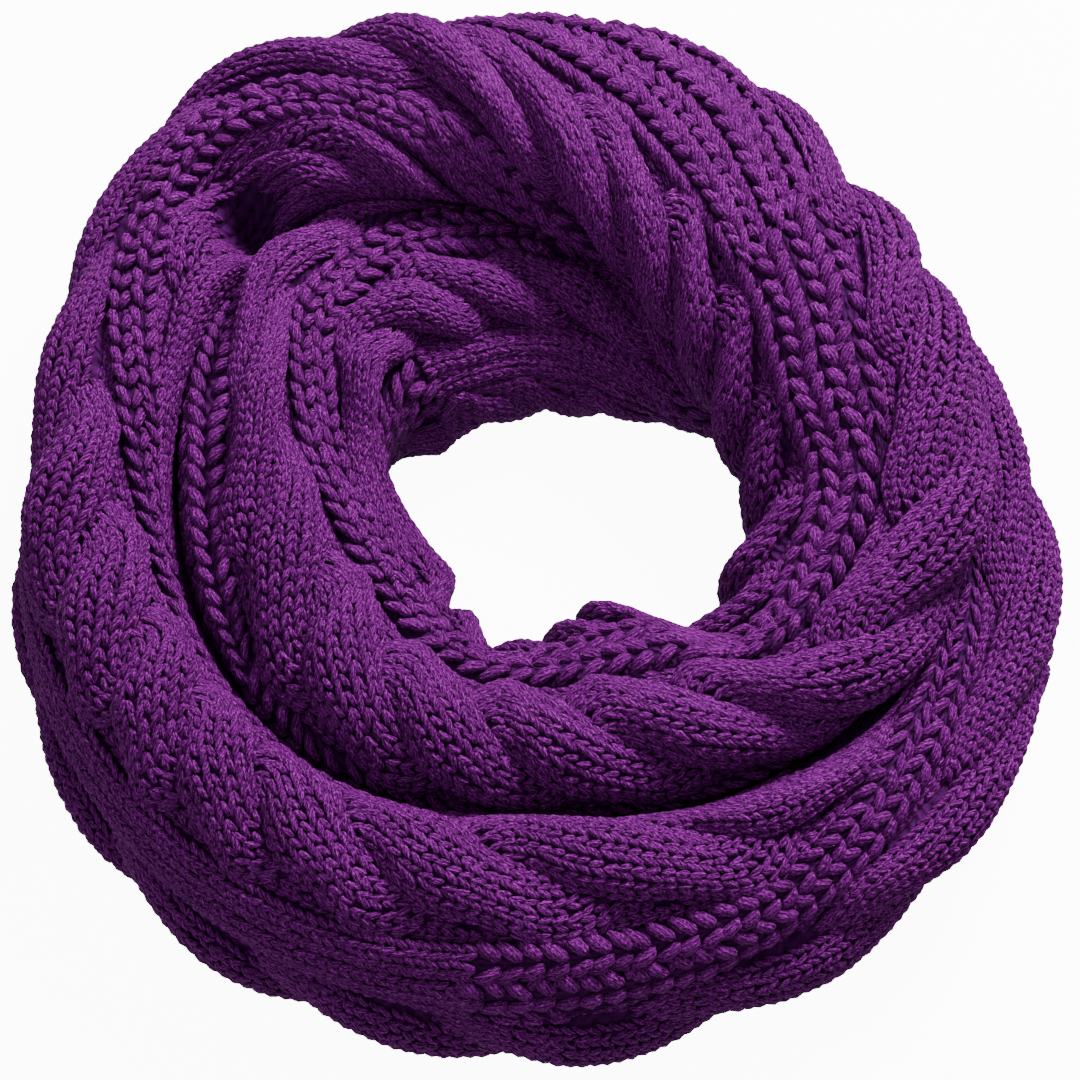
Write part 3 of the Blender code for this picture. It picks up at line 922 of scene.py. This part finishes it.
def uv_parts(tree, name):
    """Both parts of a layout, in millimetres."""
    uv = tree.nodes.new("ShaderNodeUVMap")
    uv.uv_map = name
    parts = tree.nodes.new("ShaderNodeSeparateXYZ")
    tree.links.new(uv.outputs[0], parts.inputs[0])
    return parts.outputs[0], parts.outputs[1]


def noise_node(tree, x, y, detail, roughness):
    vector = tree.nodes.new("ShaderNodeCombineXYZ")
    tree.links.new(x, vector.inputs[0])
    tree.links.new(y, vector.inputs[1])
    noise = tree.nodes.new("ShaderNodeTexNoise")
    noise.noise_dimensions = "2D"
    noise.inputs["Scale"].default_value = 1.0
    noise.inputs["Detail"].default_value = detail
    noise.inputs["Roughness"].default_value = roughness
    tree.links.new(vector.outputs[0], noise.inputs["Vector"])
    return noise.outputs["Fac"]


def ramp_node(tree, factor, stops):
    ramp = tree.nodes.new("ShaderNodeValToRGB")
    while len(ramp.color_ramp.elements) < len(stops):
        ramp.color_ramp.elements.new(0.5)
    for element, (position, colour) in zip(ramp.color_ramp.elements, stops):
        element.position = position
        element.color = (*colour, 1)
    tree.links.new(factor, ramp.inputs[0])
    return ramp.outputs[0]


def bump_node(tree, height, distance, strength, under=None):
    bump = tree.nodes.new("ShaderNodeBump")
    bump.inputs["Distance"].default_value = distance
    bump.inputs["Strength"].default_value = strength
    tree.links.new(height, bump.inputs["Height"])
    if under is not None:
        tree.links.new(under, bump.inputs["Normal"])
    return bump.outputs[0]


def tinted(tree, colour, factor):
    """The colour times a factor."""
    mix = tree.nodes.new("ShaderNodeVectorMath")
    mix.operation = "SCALE"
    tree.links.new(colour, mix.inputs[0])
    tree.links.new(factor, mix.inputs["Scale"])
    return mix.outputs[0]


# The lightest fibre colour is partly the yarn's own tone and partly a painted highlight, the shine of its
# glossy fibres.
YARN_DARK = (0.028, 0.0, 0.042)
YARN_MIDDLE = (0.114, 0.0, 0.146)
YARN_LIGHT_AND_PAINTED_SHINE = (0.400, 0.042, 0.430)
PLY_TWIST = 0.36
PLIES_PER_MM = 0.56
FIBRES_PER_MM = 2.4
FIBRE_LENGTHS_PER_MM = 0.85
FIBRE_DETAIL = 2.5
FIBRE_ROUGHNESS = 0.6
PLY_PAINTED_SHADE = 0.055
YARN_TONE_AND_SHINE_STOPS = ((0.36, YARN_DARK), (0.50, YARN_MIDDLE), (0.68, YARN_LIGHT_AND_PAINTED_SHINE))
SHADE_RANGE = 0.34
SHADE_LOWEST = 0.83
PLY_BUMP = (0.00030, 0.9)
FIBRE_BUMP = (0.00060, 1.0)


def yarn_material():
    """Plied acrylic yarn: twisted plies, fine glossy fibres along them, and a tone of its own on each leg.
    The fibres' light streaks are partly the yarn's tone and partly a painted highlight, and the ply grooves
    carry painted shade.
    """
    material, tree, shader = nodes_of("yarn")
    u, v = uv_parts(tree, "Yarn")
    across = math_node(tree, "MULTIPLY_ADD", v, PLY_TWIST, u)
    ply = math_node(tree, "SINE", math_node(tree, "MULTIPLY", across, 2 * math.pi * PLIES_PER_MM))
    fibre = noise_node(
        tree,
        math_node(tree, "MULTIPLY", across, FIBRES_PER_MM),
        math_node(tree, "MULTIPLY", v, FIBRE_LENGTHS_PER_MM),
        FIBRE_DETAIL,
        FIBRE_ROUGHNESS,
    )
    # Painted shade: the yarn is coloured darker in the grooves between its plies and lighter on their crests.
    tone_and_painted_light = math_node(tree, "MULTIPLY_ADD", ply, PLY_PAINTED_SHADE, fibre)
    colour = ramp_node(tree, tone_and_painted_light, YARN_TONE_AND_SHINE_STOPS)
    shade = tree.nodes.new("ShaderNodeAttribute")
    shade.attribute_name = "shade"
    strength = math_node(tree, "MULTIPLY_ADD", shade.outputs["Fac"], SHADE_RANGE, SHADE_LOWEST)
    tree.links.new(tinted(tree, colour, strength), shader.inputs["Base Color"])
    rounded = bump_node(tree, ply, *PLY_BUMP)
    tree.links.new(bump_node(tree, fibre, *FIBRE_BUMP, rounded), shader.inputs["Normal"])
    shader.inputs["Roughness"].default_value = 0.56
    shader.inputs["Specular IOR Level"].default_value = 0.16
    shader.inputs["Specular Tint"].default_value = (0.85, 0.20, 0.90, 1)
    shader.inputs["Sheen Weight"].default_value = 0.06
    shader.inputs["Sheen Roughness"].default_value = 0.45
    shader.inputs["Sheen Tint"].default_value = (0.75, 0.10, 0.80, 1)
    return material


# Painted shade: the ground is coloured far darker than the yarn, for the shade in the gaps between stitches,
# at the bottom of the pit and on the tuck.
CLOTH_PAINTED_SHADE_DARK = (0.018, 0.0, 0.027)
CLOTH_PAINTED_SHADE_LIGHT = (0.072, 0.0, 0.094)
CLOTH_PAINTED_SHADE_STOPS = ((0.20, CLOTH_PAINTED_SHADE_DARK), (0.75, CLOTH_PAINTED_SHADE_LIGHT))
CLOTH_COLUMNS_PER_MM = 0.2
CLOTH_ROWS_PER_MM = 0.25
CLOTH_SLANT = 1.3
LEG_HEIGHT = 0.3
GROOVE_HEIGHT = 0.7
CLOTH_FIBRES_PER_MM = 2.2
CLOTH_FIBRE_LENGTHS_PER_MM = 1.1
CLOTH_DETAIL = 3.0
GROOVE_PAINTED_SHADE = 0.30
FIBRE_TONE = 0.75
CLOTH_BUMP = (0.0011, 1.0)
CLOTH_FIBRE_BUMP = (0.0003, 0.8)


def cloth_material():
    """A herringbone of short legs: it shows between the stitches and, as flat knit, where the scarf rests.
    Its colour is painted shade, far darker than the yarn, and darker still in its grooves.
    """
    material, tree, shader = nodes_of("knit_ground_painted_shade")
    u, v = uv_parts(tree, "Knit")
    column = math_node(tree, "FRACT", math_node(tree, "MULTIPLY", u, CLOTH_COLUMNS_PER_MM))
    fold = math_node(tree, "ABSOLUTE", math_node(tree, "SUBTRACT", column, 0.5))
    slanted = math_node(tree, "MULTIPLY", fold, CLOTH_SLANT)
    row = math_node(tree, "MULTIPLY_ADD", v, CLOTH_ROWS_PER_MM, slanted)
    leg = math_node(tree, "SINE", math_node(tree, "MULTIPLY", row, 2 * math.pi))
    groove = math_node(tree, "SINE", math_node(tree, "MULTIPLY", fold, 2 * math.pi))
    groove = math_node(tree, "MULTIPLY", groove, GROOVE_HEIGHT)
    height = math_node(tree, "MULTIPLY_ADD", leg, LEG_HEIGHT, groove)
    fibre = noise_node(
        tree,
        math_node(tree, "MULTIPLY", u, CLOTH_FIBRES_PER_MM),
        math_node(tree, "MULTIPLY", v, CLOTH_FIBRE_LENGTHS_PER_MM),
        CLOTH_DETAIL,
        FIBRE_ROUGHNESS,
    )
    fuzz = math_node(tree, "MULTIPLY", fibre, FIBRE_TONE)
    # Painted shade: the grooves of the herringbone are coloured darker than its legs.
    tone_and_painted_light = math_node(tree, "MULTIPLY_ADD", height, GROOVE_PAINTED_SHADE, fuzz)
    colour = ramp_node(tree, tone_and_painted_light, CLOTH_PAINTED_SHADE_STOPS)
    tree.links.new(colour, shader.inputs["Base Color"])
    shaped = bump_node(tree, height, *CLOTH_BUMP)
    tree.links.new(bump_node(tree, fibre, *CLOTH_FIBRE_BUMP, shaped), shader.inputs["Normal"])
    shader.inputs["Roughness"].default_value = 0.8
    shader.inputs["Specular IOR Level"].default_value = 0.1
    return material


def added(name, mesh, material):
    """A new object of the scene."""
    piece = bpy.data.objects.new(name, mesh)
    piece.data.materials.append(material)
    bpy.context.scene.collection.objects.link(piece)
    return piece


# The photograph looks down at the coil steeply, with a moderately long lens.
CAMERA_ELEVATION = 68.0
CAMERA_DISTANCE = 1.005
AIM = (0, 0, 0.035)
FOCAL_LENGTH = 100
SENSOR_WIDTH = 36

# The floor glows until it is as white as the photograph's background. The world fills the shadows.
FLOOR_HALF_WIDTH = 9
FLOOR_HEIGHT = -0.0004
FLOOR_GLOW = 11.0
WORLD_STRENGTH = 0.50


def make_camera():
    aim = Vector(AIM) - Vector(middle * MM)
    tilt = math.radians(CAMERA_ELEVATION)
    back = Vector((0, -math.cos(tilt), math.sin(tilt)))
    lens = bpy.data.cameras.new("camera")
    lens.lens = FOCAL_LENGTH
    lens.sensor_width = SENSOR_WIDTH
    lens.clip_start = 0.01
    camera = bpy.data.objects.new("camera", lens)
    camera.location = aim + back * CAMERA_DISTANCE
    camera.rotation_euler = (-back).to_track_quat("-Z", "Y").to_euler()
    bpy.context.scene.collection.objects.link(camera)
    bpy.context.scene.camera = camera


def make_light(name, place, size, power, colour):
    """A round lamp that points at the origin."""
    lamp = bpy.data.lights.new(name, "AREA")
    lamp.shape = "DISK"
    lamp.size = size
    lamp.energy = power
    lamp.color = colour
    light = bpy.data.objects.new(name, lamp)
    light.location = place
    light.rotation_euler = (-Vector(place)).to_track_quat("-Z", "Y").to_euler()
    bpy.context.scene.collection.objects.link(light)


def make_floor():
    material, _, shader = nodes_of("floor")
    shader.inputs["Base Color"].default_value = (0.93, 0.93, 0.93, 1)
    shader.inputs["Roughness"].default_value = 0.9
    shader.inputs["Emission Color"].default_value = (1, 1, 1, 1)
    shader.inputs["Emission Strength"].default_value = FLOOR_GLOW
    mesh = bpy.data.meshes.new("floor")
    half = FLOOR_HALF_WIDTH
    corners = [(x, y, FLOOR_HEIGHT) for x, y in ((-half, -half), (half, -half), (half, half), (-half, half))]
    mesh.from_pydata(corners, [], [(0, 1, 2, 3)])
    floor = added("floor", mesh, material)
    # The glow whitens the background alone, as in the photograph. It doesn't light the scarf or shine on it.
    floor.visible_diffuse = False
    floor.visible_glossy = False


def make_world():
    world = bpy.data.worlds.new("studio")
    world.use_nodes = True
    world.node_tree.nodes["Background"].inputs["Color"].default_value = (1, 1, 1, 1)
    world.node_tree.nodes["Background"].inputs["Strength"].default_value = WORLD_STRENGTH
    bpy.context.scene.world = world


def main():
    make_camera()
    make_world()
    make_light("key", place=(0.55, 1.00, 1.10), size=0.50, power=54, colour=(1.0, 0.985, 0.97))
    make_light("fill", place=(-0.7, -0.6, 1.3), size=1.2, power=2.5, colour=(0.97, 0.98, 1.0))
    make_floor()
    yarn, ground = yarn_material(), cloth_material()
    cable_parts = [legs for number in range(len(CABLES)) for legs in cable_legs(number) + ground_legs(number)]
    rib_parts = [legs for number in range(len(CABLES)) for legs in rib_legs(number) + fine_legs(number)]
    for stretch in STRETCHES:
        def on_stretch(azimuth):
            place = (azimuth - START) % LOOP + START
            return (place >= stretch.first) & (place < stretch.last)

        name = stretch.name
        cloth, girth, length = cloth_mesh(name + "_cloth", stretch)
        shell = added(name + "_cloth", cloth, ground)
        cables = added(name + "_cables", leg_mesh(name + "_cables", joined(cable_parts, on_stretch)), yarn)
        ribs = added(name + "_ribs", leg_mesh(name + "_ribs", joined(rib_parts, on_stretch)), yarn)
        dressing = [cables, ribs]
        if stretch.first == START:
            # The tuck wears the ground's colour, which is painted shade.
            dressing.append(added(name + "_tuck", tuck_mesh(name + "_tuck"), ground))
        for piece in (shell, *dressing):
            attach(piece, "root")
        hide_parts(stretch.name)


main()
